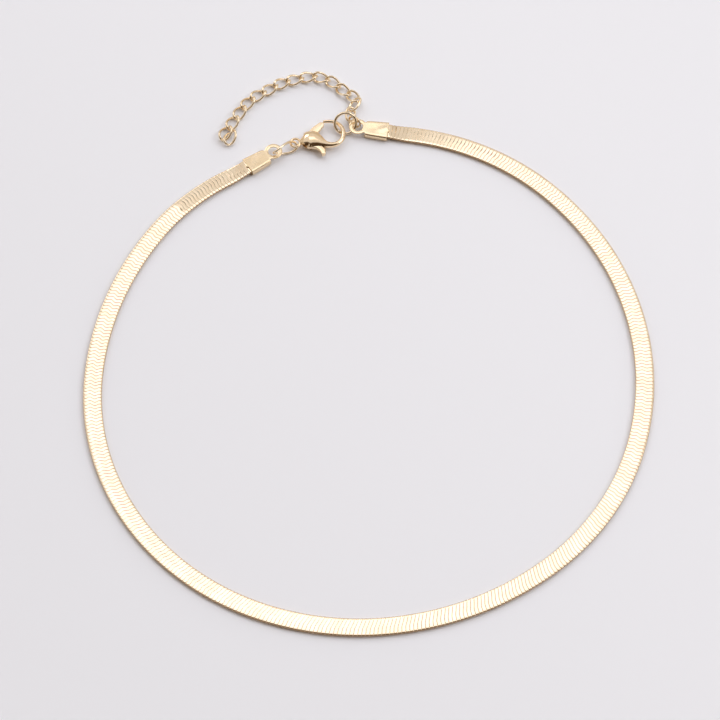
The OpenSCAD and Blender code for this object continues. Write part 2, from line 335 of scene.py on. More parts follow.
@dataclass(frozen=True)
class MetalFinish:
    """Pale gold plating over brass, or bare steel; satin or bright.

    Attributes:
        name: name of the material.
        pale: colour of the lighter clouds.
        deep: colour of the deeper clouds.
        smooth: lowest roughness.
        rough: highest roughness.
        grain: size of the grain, in grains for each millimetre.
        relief: depth of the grain in the bump.
        stroke_turn: direction of the polishing strokes, in degrees.
        CLOUDS: clouds of tone for each millimetre.
        BUMP_DEPTH: height of the full bump, in millimetres.
        SHADE_AND_TONE_BROWN: painted shade colour in the joints between scales and on the band's long edges, also
            taken by some whole scales at random.
        JOINT_WIDTH: width of a joint between scales, in parts of their pitch.
        JOINT_SHADE: how far a joint takes that colour, as painted shade.
        EACH_DARK: how far a whole scale may take it.
    """

    CLOUDS: ClassVar[float] = 0.35
    BUMP_DEPTH: ClassVar[float] = 0.02
    SHADE_AND_TONE_BROWN: ClassVar[Colour] = (0.54, 0.31, 0.14)
    JOINT_WIDTH: ClassVar[float] = 0.12
    JOINT_SHADE: ClassVar[float] = 0.28
    EACH_DARK: ClassVar[float] = 0.10
    name: str
    pale: Colour
    deep: Colour
    smooth: float
    rough: float
    grain: float
    relief: float
    stroke_turn: float = 0.0

    def material(self, shared: SharedEffects, with_scales: bool = False) -> bpy.types.Material:
        """Builds the finish as a material.

        Args:
            shared: the shared node groups.
            with_scales: whether the piece has the band's UV map.

        Returns:
            The material.
        """
        made = bpy.data.materials.new(self.name)
        made.use_nodes = True
        made.diffuse_color = (*self.pale, 1)
        nodes = Nodes(made.node_tree)
        shader = made.node_tree.nodes["Principled BSDF"]
        shader.inputs["Metallic"].default_value = 1.0
        coordinates = nodes.add("TexCoord")
        placed = nodes.add("Mapping", Vector=coordinates.outputs["Object"], Scale=(1 / MM, 1 / MM, 1 / MM))
        tone = nodes.add("Group", node_tree=shared.tone, Vector=placed.outputs[0], Clouds=self.CLOUDS,
                         Deep=(*self.deep, 1), Pale=(*self.pale, 1), Dark=(*self.SHADE_AND_TONE_BROWN, 1))
        grain = nodes.add("Group", node_tree=shared.grain, Vector=placed.outputs[0], Grain=self.grain,
                          Low=self.smooth, High=self.rough, Turn=math.radians(self.stroke_turn))
        if with_scales:
            own = nodes.add("UVMap", uv_map=SnakeBand.UV_NAME)
            masks = nodes.add("Group", node_tree=shared.scales, UV=own.outputs[0], Joint=self.JOINT_WIDTH)
            # painted shade in the joints and on the long edges, over a darker tone that differs at random from scale
            # to scale
            uneven = nodes.math("MULTIPLY", masks.outputs["Each"], self.EACH_DARK)
            shade_and_tone = nodes.math("MULTIPLY_ADD", masks.outputs["Joint"], self.JOINT_SHADE, uneven)
            nodes.link(nodes.math("MAXIMUM", shade_and_tone, masks.outputs["Edge"]), tone.inputs["Shade and tone"])
        nodes.link(tone.outputs["Color"], shader.inputs["Base Color"])
        nodes.link(grain.outputs["Roughness"], shader.inputs["Roughness"])
        bump = nodes.add("Bump", Strength=self.relief, Distance=self.BUMP_DEPTH * MM,
                         Height=grain.outputs["Height"])
        nodes.link(bump.outputs[0], shader.inputs["Normal"])
        return made


class Finishes:
    """The finishes of the necklace's pieces, one material for each slot.

    Attributes:
        GOLD: paler and deeper colour of the clasp.
        SHEET_GOLD: paler and deeper colour of the caps.
        BAND_GOLD: paler and deeper colour of the band.
        WIRE_GOLD: paler and deeper colour of the links and the ring.
        STEEL: paler and deeper colour of the pin.
        by_slot: the material of each slot.
    """

    GOLD: tuple[Colour, Colour] = ((0.98, 0.80, 0.57), (0.95, 0.74, 0.49))
    SHEET_GOLD: tuple[Colour, Colour] = ((0.94, 0.765, 0.53), (0.92, 0.73, 0.48))
    BAND_GOLD: tuple[Colour, Colour] = ((0.98, 0.84, 0.63), (0.96, 0.80, 0.58))
    WIRE_GOLD: tuple[Colour, Colour] = ((0.98, 0.84, 0.63), (0.96, 0.79, 0.56))
    STEEL: tuple[Colour, Colour] = ((0.62, 0.61, 0.59), (0.55, 0.54, 0.52))

    def __init__(self) -> None:
        """Builds the shared groups and the materials."""
        shared = SharedEffects()
        finishes = {
            Slot.BAND: MetalFinish("rolled gold scales", *self.BAND_GOLD, 0.10, 0.16, 7.0, 0.10),
            Slot.PLATE: MetalFinish("stamped gold sheet", *self.SHEET_GOLD, 0.14, 0.26, 9.0, 0.25, 35.0),
            Slot.CAST: MetalFinish("tumbled cast gold", *self.GOLD, 0.10, 0.16, 6.0, 0.15, 12.0),
            Slot.LEVER: MetalFinish("satin stamped lever", *self.GOLD, 0.18, 0.28, 9.0, 0.12, 60.0),
            Slot.WIRE: MetalFinish("bright gold wire", *self.WIRE_GOLD, 0.07, 0.14, 8.0, 0.12, 80.0),
            Slot.PIN: MetalFinish("turned steel pin", *self.STEEL, 0.2, 0.32, 10.0, 0.2)}
        self.by_slot: dict[Slot, bpy.types.Material] = {
            slot: finish.material(shared, with_scales=slot is Slot.BAND) for slot, finish in finishes.items()}


class Workshop:
    """Turns bmesh shapes in millimetres into dressed pieces of the necklace.

    Attributes:
        finishes: the finishes that it dresses them in.
    """

    def __init__(self, finishes: Finishes) -> None:
        """Keeps the finishes."""
        self.finishes = finishes

    def piece(self, shape: bmesh.types.BMesh, name: str, slot: Slot, nodes: list[str],
              body: Body = Body.NECKLACE, sharp: float = 40.0, outward: bool = True) -> bpy.types.Object:
        """Makes a piece that stands for CAD nodes.

        Args:
            shape: the shape in millimetres, in its place; freed here.
            name: name of the piece.
            slot: its material slot.
            nodes: the CAD nodes that it replaces.
            body: the body that it rides on.
            sharp: angle above which an edge is shaded sharp, in degrees.
            outward: whether the faces are turned outwards here.

        Returns:
            The object.
        """
        if outward:
            bmesh.ops.recalc_face_normals(shape, faces=shape.faces)
        bmesh.ops.transform(shape, matrix=Matrix.Scale(MM, 4), verts=shape.verts)
        mesh = bpy.data.meshes.new(name)
        shape.to_mesh(mesh)
        shape.free()
        mesh.shade_smooth()
        mesh.set_sharp_from_angle(angle=math.radians(sharp))
        mesh.materials.append(self.finishes.by_slot[slot])
        made = bpy.data.objects.new(name, mesh)
        bpy.context.scene.collection.objects.link(made)
        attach(made, body.value)
        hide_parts(*nodes)
        LOG.info("%s: %d faces, replaces %s", name, len(mesh.polygons), ", ".join(nodes))
        return made

    @staticmethod
    def carve(shape: bmesh.types.BMesh, tool: bmesh.types.BMesh, operation: str) -> bmesh.types.BMesh:
        """Joins or cuts one closed shape with another; both are freed.

        Args:
            shape: the shape that is kept.
            tool: the shape that is joined to it or cut out of it.
            operation: the boolean's name, UNION or DIFFERENCE.

        Returns:
            The new shape.
        """
        objects = []
        for part, label in ((shape, "carve shape"), (tool, "carve tool")):
            bmesh.ops.recalc_face_normals(part, faces=part.faces)
            mesh = bpy.data.meshes.new(label)
            part.to_mesh(mesh)
            part.free()
            made = bpy.data.objects.new(label, mesh)
            bpy.context.scene.collection.objects.link(made)
            objects.append(made)
        cut = objects[0].modifiers.new("carve", "BOOLEAN")
        cut.operation = operation
        cut.object = objects[1]
        cut.solver = "EXACT"
        result = bmesh.new()
        result.from_object(objects[0], bpy.context.evaluated_depsgraph_get())
        for made in objects:
            mesh = made.data
            bpy.data.objects.remove(made)
            bpy.data.meshes.remove(mesh)
        return result


def extruded(shape: bmesh.types.BMesh, edges: list[bmesh.types.BMEdge],
             row: list[bmesh.types.BMVert]) -> tuple[list[bmesh.types.BMVert], list[bmesh.types.BMEdge]]:
    """Extrudes a row of edges.

    Args:
        shape: the shape that they belong to.
        edges: the edges.
        row: their vertices.

    Returns:
        The new vertices, in the order of the old ones, and the new edges.
    """
    made = bmesh.ops.extrude_edge_only(shape, edges=edges)["geom"]
    fresh = {v for v in made if isinstance(v, bmesh.types.BMVert)}
    new_row = [next(e.other_vert(v) for e in v.link_edges if e.other_vert(v) in fresh) for v in row]
    return new_row, [e for e in made if isinstance(e, bmesh.types.BMEdge) and set(e.verts) <= fresh]


def loft(rings: list[list[Vector]], closed: bool = False) -> bmesh.types.BMesh:
    """Extrudes a ring through a row of places.

    Args:
        rings: corner points of each ring, all of one count.
        closed: whether the last ring meets the first; else both ends are capped.

    Returns:
        The shape.
    """
    shape = bmesh.new()
    bmesh.ops.create_circle(shape, cap_ends=False, segments=len(rings[0]), radius=1)
    shape.verts.ensure_lookup_table()
    for vertex, point in zip(shape.verts, rings[0]):
        vertex.co = point
    first = list(shape.verts)
    edges = list(shape.edges)
    if not closed:
        bmesh.ops.contextual_create(shape, geom=edges)
    row = first
    for ring in rings[1:]:
        row, edges = extruded(shape, edges, row)
        for vertex, point in zip(row, ring):
            vertex.co = point
    if closed:
        ends = set(first)
        start = {e for v in first for e in v.link_edges if e.other_vert(v) in ends}
        bmesh.ops.bridge_loops(shape, edges=list(start) + edges)
    else:
        bmesh.ops.contextual_create(shape, geom=edges)
    return shape


def ring_of_wire(radius: float, wire_radius: float, wire_points: int, stations: int) -> bmesh.types.BMesh:
    """Spins a round wire about Z.

    Args:
        radius: radius of the wire's middle line.
        wire_radius: radius of the wire.
        wire_points: points round the wire.
        stations: points along the ring.

    Returns:
        The shape.
    """
    shape = bmesh.new()
    bmesh.ops.create_circle(shape, segments=wire_points, radius=wire_radius,
                            matrix=Matrix.Translation((radius, 0, 0)) @ Matrix.Rotation(math.pi / 2, 4, "X"))
    bmesh.ops.spin(shape, geom=list(shape.edges) + list(shape.verts), cent=(0, 0, 0), axis=(0, 0, 1),
                   angle=FULL_TURN, steps=stations, use_merge=True)
    return shape


@dataclass(frozen=True)
class Place:
    """A place on the table with a heading.

    Attributes:
        x: its X in millimetres.
        y: its Y in millimetres.
        heading: the heading in degrees, to the left from +X.
    """

    x: float
    y: float
    heading: float

    def ahead(self, distance: float) -> "Place":
        """The place straight ahead."""
        a = math.radians(self.heading)
        return Place(self.x + distance * math.cos(a), self.y + distance * math.sin(a), self.heading)

    def along(self, distance: float, turn: float) -> "Place":
        """The place after a stretch that turns evenly.

        Args:
            distance: length of the stretch.
            turn: left turn over the stretch, in degrees.

        Returns:
            The place at its end.
        """
        if turn == 0:
            return self.ahead(distance)
        a, b = math.radians(self.heading), math.radians(self.heading + turn)
        radius = distance / math.radians(turn)
        return Place(self.x + radius * (math.sin(b) - math.sin(a)),
                     self.y - radius * (math.cos(b) - math.cos(a)), self.heading + turn)

    def turned(self, angle: float) -> "Place":
        """The same spot with another heading."""
        return Place(self.x, self.y, self.heading + angle)

    def matrix(self) -> Matrix:
        """Matrix from the place's frame to the table's."""
        return Matrix.Translation((self.x, self.y, 0)) @ Matrix.Rotation(math.radians(self.heading), 4, "Z")


@dataclass
class NeckRoute:
    """The band's way round the neck, from inside the left cap to inside the right one.

    Attributes:
        start: where the left lead meets the table.
        arcs: radius and left turn of each arc.
        lead: length of the stretch that rises into a cap.
        lead_turn: turn of the left lead towards its cap.
        in_cap: length of the end inside a cap.
        stretches: length at the start, place at the start, length and turn of each stretch, worked out here.
        length: length of the whole way, worked out here.
        left_mouth: mouth of the left cap, heading to its lug, worked out here.
        right_mouth: mouth of the right cap, heading to its lug, worked out here.
    """

    start: Place = Place(-30.73, 41.07, 210)
    arcs: tuple[tuple[float, float], ...] = (
        (47.6, 25), (69, 31), (55, 75), (59, 25), (64, 33), (55, 36), (63, 60), (54, 37))
    lead: float = 5.0
    lead_turn: float = 3.5
    in_cap: float = 3.6
    stretches: list[tuple[float, Place, float, float]] = field(init=False, default_factory=list)

    def __post_init__(self) -> None:
        """Lays the stretches end to end, and keeps the whole length and the mouths of both caps."""
        self.left_mouth = self.start.turned(180).along(self.lead, self.lead_turn)
        rows = [(self.in_cap, 0.0), (self.lead, -self.lead_turn)]
        rows += [(radius * math.radians(turn), turn) for radius, turn in self.arcs]
        rows += [(self.lead, 0.0), (self.in_cap, 0.0)]
        place, done = self.left_mouth.ahead(self.in_cap).turned(180), 0.0
        for length, turn in rows:
            self.stretches.append((done, place, length, turn))
            place, done = place.along(length, turn), done + length
        self.length = done
        self.right_mouth = self.stretches[-1][1]

    def at(self, distance: float) -> Place:
        """Finds a place on the way.

        Args:
            distance: distance from the band's left end.

        Returns:
            The place there.
        """
        for done, place, length, turn in self.stretches:
            if distance <= done + length:
                break
        part = distance - done
        return place.along(part, turn * part / length)

    def rise(self, distance: float) -> float:
        """How far the band has risen towards a cap there, from 0 to 1."""
        from_mouth = min(distance, self.length - distance) - self.in_cap
        return 1 - eased(from_mouth / self.lead)


@dataclass
class SnakeBand:
    """The flat snake band: several hundred scales that overlap like roof tiles.

    Attributes:
        UV_NAME: name of the band's UV map.
        width: width of the band.
        thickness: thickness of the band.
        pinch_width: width inside an end cap.
        cap_floor: height of the underside inside a cap.
        pitch: distance from scale to scale.
        count: how many pieces the band's mesh is split into.
        corner: radius of the band's long edges.
        flank: rows of a scale: place along in parts of the pitch, recess of the top, recess of the sides.
        flat_shares: points across the flat top, as shares of it.
        corner_angles: points round an upper corner, in degrees.
        under: points of the underside, as shares of half width and half thickness.
        waves: shape of a scale's line by share of the length: share, lean, bow, wave.
        rolls: slope of the scales across, in degrees, by distance from the left end of the band.
        tile_lift: how much higher the front of a scale's top lies than its back.
        cap_calm: share of the line's shape that is lost inside a cap.
    """

    UV_NAME: ClassVar[str] = "scales"
    width: float = 4.0
    thickness: float = 0.9
    pinch_width: float = 3.6
    cap_floor: float = 0.3
    pitch: float = 0.8
    count: int = 2
    corner: float = 0.27
    flank: tuple[tuple[float, float, float], ...] = (
        (-0.50, 0.012, 0.10), (-0.47, 0.001, 0.04), (-0.30, 0.0, 0.0), (0.30, 0.0, 0.0), (0.47, 0.001, 0.04),
        (0.50, 0.011, 0.09))
    flat_shares: tuple[float, ...] = (0.0, 0.25, 0.5, 0.75)
    corner_angles: tuple[float, ...] = (0, 22, 44, 66, 90)
    under: tuple[tuple[float, float], ...] = ((0.92, -0.2), (0.82, -1.0), (0.3, -1.0))
    waves: Rows = (
        (0.00, 0.10, 0.00, 0.12), (0.06, 0.15, 0.05, 0.16), (0.20, 0.18, 0.00, 0.26), (0.33, 0.40, 0.15, 0.12),
        (0.42, 0.70, 0.28, 0.04), (0.58, 0.70, 0.28, 0.04), (0.68, 0.30, 0.00, 0.16), (0.76, 0.16, -0.22, 0.18),
        (0.84, 0.16, 0.22, 0.20), (0.93, 0.34, 0.10, 0.10), (1.00, 0.20, 0.00, 0.05))
    rolls: Rows = (
        (3.6, 50.0), (4.6, 40.0), (5.2, 20.0), (6.1, 10.0), (7.1, 5.0), (8.6, 2.8), (21.0, 2.8), (22.2, 0.0),
        (316.0, 0.2), (324.0, 0.9), (331.0, 2.0), (336.7, 2.8), (338.2, 5.0), (339.2, 10.0), (340.1, 20.0),
        (340.7, 40.0), (341.7, 50.0))
    tile_lift: float = 0.010
    cap_calm: float = 0.6

    def section(self) -> list[tuple[float, float]]:
        """Outline of a scale, once round.

        Returns:
            Its points, as shares of the half width and of the half thickness.
        """
        half_width, half_height = self.width / 2, self.thickness / 2
        flat, wall = half_width - self.corner, half_height - self.corner
        left = [(share * flat / half_width, 1.0) for share in self.flat_shares]
        for a in map(math.radians, self.corner_angles):
            out, up = flat + self.corner * math.sin(a), wall + self.corner * math.cos(a)
            left.append((out / half_width, up / half_height))
        left += self.under
        return left + [(-share, height) for share, height in reversed(left[1:])]

    def line_offset(self, share: float, along: float) -> float:
        """How far a scale's line runs ahead at a share of the half width, at a share of the band's length."""
        lean, bow, wave = table_at(self.waves, along)
        return lean * share + bow * (share * share - 1 / 3) + wave * math.sin(math.pi * 2 * share)

    def template(self) -> bmesh.types.BMesh:
        """One scale on its own, with its UV map.

        Returns:
            The scale: X along, Y as a share of the half width, Z as a share of the half thickness.
        """
        outline = self.section()
        rings = []
        for along, top, side in self.flank:
            rings.append([
                Vector((along, s * (1 - side / (self.width / 2)), h * (1 - top / (self.thickness / 2))))
                for s, h in outline])
        scale = loft(rings)
        bmesh.ops.recalc_face_normals(scale, faces=scale.faces)
        layer = scale.loops.layers.uv.new(self.UV_NAME)
        for face in scale.faces:
            for corner in face.loops:
                corner[layer].uv = (corner.vert.co.x, corner.vert.co.y)
        return scale

    def settle(self, vertices: list[bmesh.types.BMVert], number: int, route: NeckRoute) -> None:
        """Moves the vertices of a scale to its place in the band.

        Args:
            vertices: the vertices, as in the template.
            number: the scale's number.
            route: the band's way.
        """
        middle = (number + 0.5) * self.pitch
        share_along = middle / route.length
        slope = math.tan(math.radians(table_at(self.rolls, middle)[0]))
        shaped = 1 - self.cap_calm * route.rise(middle)
        for vertex in vertices:
            along, across, up = vertex.co
            ahead = middle + along * self.pitch + shaped * self.line_offset(across, share_along)
            place = route.at(min(route.length, max(0.0, ahead)))
            rise = route.rise(ahead)
            half = mixed(self.width, self.pinch_width, rise) / 2
            z = self.cap_floor * rise + self.thickness / 2 * (1 + up)
            if up > 0:
                z += self.tile_lift * along - up * slope * half * (1 - across) * (1 - rise)
            side = math.radians(place.heading + 90)
            vertex.co = (place.x + half * across * math.cos(side), place.y + half * across * math.sin(side), z)

    def build(self, workshop: Workshop, route: NeckRoute) -> None:
        """Builds the band in pieces, each a run of scales.

        Args:
            workshop: makes the pieces.
            route: the band's way.
        """
        single = self.template()
        mesh = bpy.data.meshes.new("scale")
        single.to_mesh(mesh)
        single.free()
        total = int(route.length / self.pitch)
        cuts = [total * run // self.count for run in range(self.count + 1)]
        for run, (first, end) in enumerate(zip(cuts, cuts[1:]), 1):
            shape = bmesh.new()
            for number in range(first, end):
                before = len(shape.verts)
                shape.from_mesh(mesh)
                shape.verts.ensure_lookup_table()
                self.settle(shape.verts[before:], number, route)
            layer = shape.loops.layers.uv.active
            for index, face in enumerate(shape.faces):
                for corner in face.loops:
                    corner[layer].uv.x += first + index // len(mesh.polygons)
            workshop.piece(shape, f"snake_scales_{run}", Slot.BAND, ["flat_chain"], sharp=50, outward=False)
        bpy.data.meshes.remove(mesh)


@dataclass(frozen=True)
class CapMarks:
    """Wear marks on the flat top of a cap: a shallow dent, and perhaps a raised crease near the open end.

    Attributes:
        dent_at: the dent's middle, from the open end and from the middle line.
        dent_depth: its depth.
        dent_spread: how far it spreads, in square millimetres.
        crease: height of the crease.
        crease_line: slope of its line, and where this crosses the cap's middle line.
        crease_half: half width of the crease.
        crease_start: stretch over which it rises from the open end.
        crease_end: where it ends, and the stretch over which it falls.
    """

    dent_at: tuple[float, float]
    dent_depth: float
    dent_spread: float
    crease: float = 0.0
    crease_line: tuple[float, float] = (0.5, 1.4)
    crease_half: float = 0.8
    crease_start: float = 0.4
    crease_end: tuple[float, float] = (2.6, 1.2)

    def height(self, x: float, y: float) -> float:
        """Measures the marks.

        Args:
            x: distance from the open end.
            y: distance from the middle line.

        Returns:
            The height that the flat top gains there.
        """
        dent_x, dent_y = self.dent_at
        dent = self.dent_depth * math.exp(-((x - dent_x) ** 2 + (y - dent_y) ** 2) / self.dent_spread)
        slope, crossing = self.crease_line
        end, fall = self.crease_end
        crease = self.crease * max(0.0, 1 - abs(y - slope * (x - crossing)) / self.crease_half)
        return crease * eased(x / self.crease_start) * eased((end - x) / fall) - dent


@dataclass
class EndCap:
    """A sheet folded round the band's end, with a round lug.

    Attributes:
        length: length of the folded plate.
        mouth_width: width at the open end.
        lug_end_width: width at the lug.
        sheet: thickness of the sheet.
        height: whole height.
        slit: width of the slit between the flaps underneath.
        corner: radius of the folds at the middle of the sheet.
        lug_at: middle of the lug's hole from the open end.
        lug_radius: radius of the lug.
        hole_radius: radius of its hole.
        lug_angles: points of the lug's outline on its upper half, in degrees from the tip.
        neck: points between plate and lug, past the plate's end and past its half width.
        shoulder: narrowing of the plate beside the lug, and its length.
        lug_rows: rows of points from the hole to the outline, as shares of the way.
        lug_bulge: height of the lug's soft rise between hole and outline.
        plate_rows: distances of the plate's rows of points from the open end.
        plate_cuts: how many faces the flat top is across.
        ring_points: points round the lug's hole.
        fold_angles: points of a quarter of a fold, in degrees.
        tongue: length of the small tongue.
        tongue_rows: rows of the tongue: share of its length, share of its width.
        tongue_half: half width of the tongue.
        tongue_droop: how far its tip is bent down.
        tongue_round: how far the sides of its tip stay back.
        flap_rows: rows of a flap underneath, as shares of the way from the fold to the slit.
        lean_loss: share of the top's lean that the lug doesn't follow, and the stretch over which it is lost.
        softness: subdivision levels of the sheet.
    """

    length: float = 5.0
    mouth_width: float = 4.4
    lug_end_width: float = 3.9
    sheet: float = 0.25
    height: float = 1.5
    slit: float = 1.2
    corner: float = 0.3
    lug_at: float = 6.7
    lug_radius: float = 2.05
    hole_radius: float = 1.1
    lug_angles: tuple[float, ...] = (117, 95, 72, 48, 24)
    neck: tuple[tuple[float, float], ...] = ((0.20, 0.02), (0.48, 0.10))
    shoulder: tuple[float, float] = (0.10, 0.6)
    lug_rows: tuple[float, ...] = (0.0, 0.33, 0.66, 1.0)
    lug_bulge: float = 0.03
    plate_rows: tuple[float, ...] = (4.72, 4.2, 3.3, 2.4, 1.6, 0.95, 0.45, 0.12, 0.0)
    plate_cuts: int = 8
    ring_points: int = 24
    fold_angles: tuple[float, ...] = (35, 65, 90)
    tongue: float = 0.45
    tongue_rows: tuple[tuple[float, float], ...] = ((0.55, 1.0), (1.0, 0.6))
    tongue_half: float = 0.36
    tongue_droop: float = 0.05
    tongue_round: float = 0.12
    flap_rows: tuple[float, ...] = (0.5, 1.0)
    lean_loss: tuple[float, float] = (0.5, 1.5)
    softness: int = 2

    def half_flat(self, x: float) -> float:
        """Measures the flat top.

        Args:
            x: distance from the open end.

        Returns:
            Its half width there.
        """
        narrowing, stretch = self.shoulder
        half = mixed(self.mouth_width, self.lug_end_width, x / self.length) / 2
        half -= narrowing * eased((x - self.length + stretch) / stretch)
        return half - self.sheet / 2 - self.corner

    def lug_outline(self) -> list[tuple[float, float]]:
        """Outline of lug and neck.

        Returns:
            Its points from the plate's upper corner round the tip, without the plate's own edge.
        """
        half = self.half_flat(self.length)
        upper = [(self.length + past, half + wider) for past, wider in self.neck]
        upper += [(self.lug_at + self.lug_radius * math.cos(a), self.lug_radius * math.sin(a))
                  for a in map(math.radians, self.lug_angles)]
        return upper + [(self.lug_at + self.lug_radius, 0.0)] + [(x, -y) for x, y in reversed(upper)]

    def sheet_shape(self, marks: CapMarks) -> bmesh.types.BMesh:
        """The middle surface of the folded sheet, open end at the origin.

        Args:
            marks: the wear marks on the flat top.

        Returns:
            The surface, before it gets its thickness.
        """
        level = self.height - self.sheet / 2
        half = self.half_flat(self.length)
        cuts = self.plate_cuts
        edge = [(self.length, half * (1 - 2 * k / cuts)) for k in range(cuts + 1)]
        outline = list(reversed(edge)) + self.lug_outline()
        shape = bmesh.new()
        bmesh.ops.create_circle(shape, segments=self.ring_points, radius=1)
        shape.verts.ensure_lookup_table()
        hole = Vector((self.lug_at, 0))
        row, edges = list(shape.verts), list(shape.edges)
        for share in self.lug_rows:
            if share > 0:
                row, edges = extruded(shape, edges, row)
            for vertex, point in zip(row, map(Vector, outline)):
                near = hole + (point - hole).normalized() * self.hole_radius
                vertex.co = (*near.lerp(point, share), level + self.lug_bulge * math.sin(math.pi * share))
        columns = [row[:cuts + 1]]
        strip = [e for e in shape.edges if e.verts[0] in columns[0] and e.verts[1] in columns[0]]
        for x in self.plate_rows:
            row, strip = extruded(shape, strip, columns[-1])
            for k, vertex in enumerate(row):
                y = self.half_flat(x) * (2 * k / cuts - 1)
                vertex.co = (x, y, level + marks.height(x, y))
            columns.append(row)
        self._add_tongue(shape, columns[-1])
        for side in (0, -1):
            self._fold(shape, [row[side] for row in columns], -1 if side == 0 else 1)
        return shape

    def _add_tongue(self, shape: bmesh.types.BMesh, mouth: list[bmesh.types.BMVert]) -> None:
        """Draws the middle of the open end's edge out into the tongue.

        Args:
            shape: the sheet.
            mouth: vertices of the open end's edge, in order.
        """
        middle = len(mouth) // 2
        row = mouth[middle - 1:middle + 2]
        edges = [e for e in shape.edges if e.verts[0] in row and e.verts[1] in row]
        for share, width in self.tongue_rows:
            row, edges = extruded(shape, edges, row)
            for side, vertex in zip((-1, 0, 1), row):
                vertex.co = (share * (abs(side) * self.tongue_round - self.tongue), side * self.tongue_half * width,
                             vertex.co.z - self.tongue_droop * share)

    def _fold(self, shape: bmesh.types.BMesh, border: list[bmesh.types.BMVert], side: int) -> None:
        """Folds the sheet down and under along one long edge.

        Args:
            shape: the sheet.
            border: vertices of the edge, from the lug to the open end.
            side: 1 for the +Y edge, -1 for the other.
        """
        level = self.height - self.sheet / 2
        drop = self.height - self.sheet - 2 * self.corner
        angles = [math.radians(d) for d in self.fold_angles]
        upper = [(self.corner * math.sin(a), self.corner * (math.cos(a) - 1)) for a in angles]
        lower = [(self.corner, -self.corner - drop)]
        lower += [(self.corner * math.cos(a), -self.corner - drop - self.corner * math.sin(a)) for a in angles]
        chosen = set(border)
        edges = [e for e in shape.edges if e.verts[0] in chosen and e.verts[1] in chosen and e.is_boundary]
        tops = [vertex.co.copy() for vertex in border]
        row = border
        for step, (out, down) in enumerate(upper + lower):
            row, edges = extruded(shape, edges, row)
            for vertex, top in zip(row, tops):
                start = top.z if step < len(upper) else level
                vertex.co = (top.x, side * (abs(top.y) + out), start + down)
        for share in self.flap_rows:
            row, edges = extruded(shape, edges, row)
            for vertex, top in zip(row, tops):
                vertex.co = (top.x, side * mixed(abs(top.y), self.slit / 2, share), self.sheet / 2)

    def build(self, workshop: Workshop, name: str, mouth: Place, marks: CapMarks, lean: float) -> None:
        """Builds a cap at a mouth of the band.

        Args:
            workshop: makes the piece.
            name: the CAD node.
            mouth: place of the open end, heading to the lug.
            marks: the wear marks on its flat top.
            lean: slope of the top up to its +Y side, in degrees.
        """
        shape = self.sheet_shape(marks)
        slope = math.tan(math.radians(lean))
        loss, stretch = self.lean_loss
        for vertex in shape.verts:
            part = 1 - loss * eased((vertex.co.x - self.length) / stretch)
            vertex.co.z += part * slope * vertex.co.y * vertex.co.z / self.height
        bmesh.ops.recalc_face_normals(shape, faces=shape.faces)
        bmesh.ops.transform(shape, matrix=mouth.matrix(), verts=shape.verts)
        made = workshop.piece(shape, f"{name}_sheet", Slot.PLATE, [name], sharp=180, outward=False)
        wall = made.modifiers.new("sheet", "SOLIDIFY")
        wall.thickness = self.sheet * MM
        wall.offset = 0
        wall.use_even_offset = True
        soft = made.modifiers.new("soft", "SUBSURF")
        soft.levels = soft.render_levels = self.softness


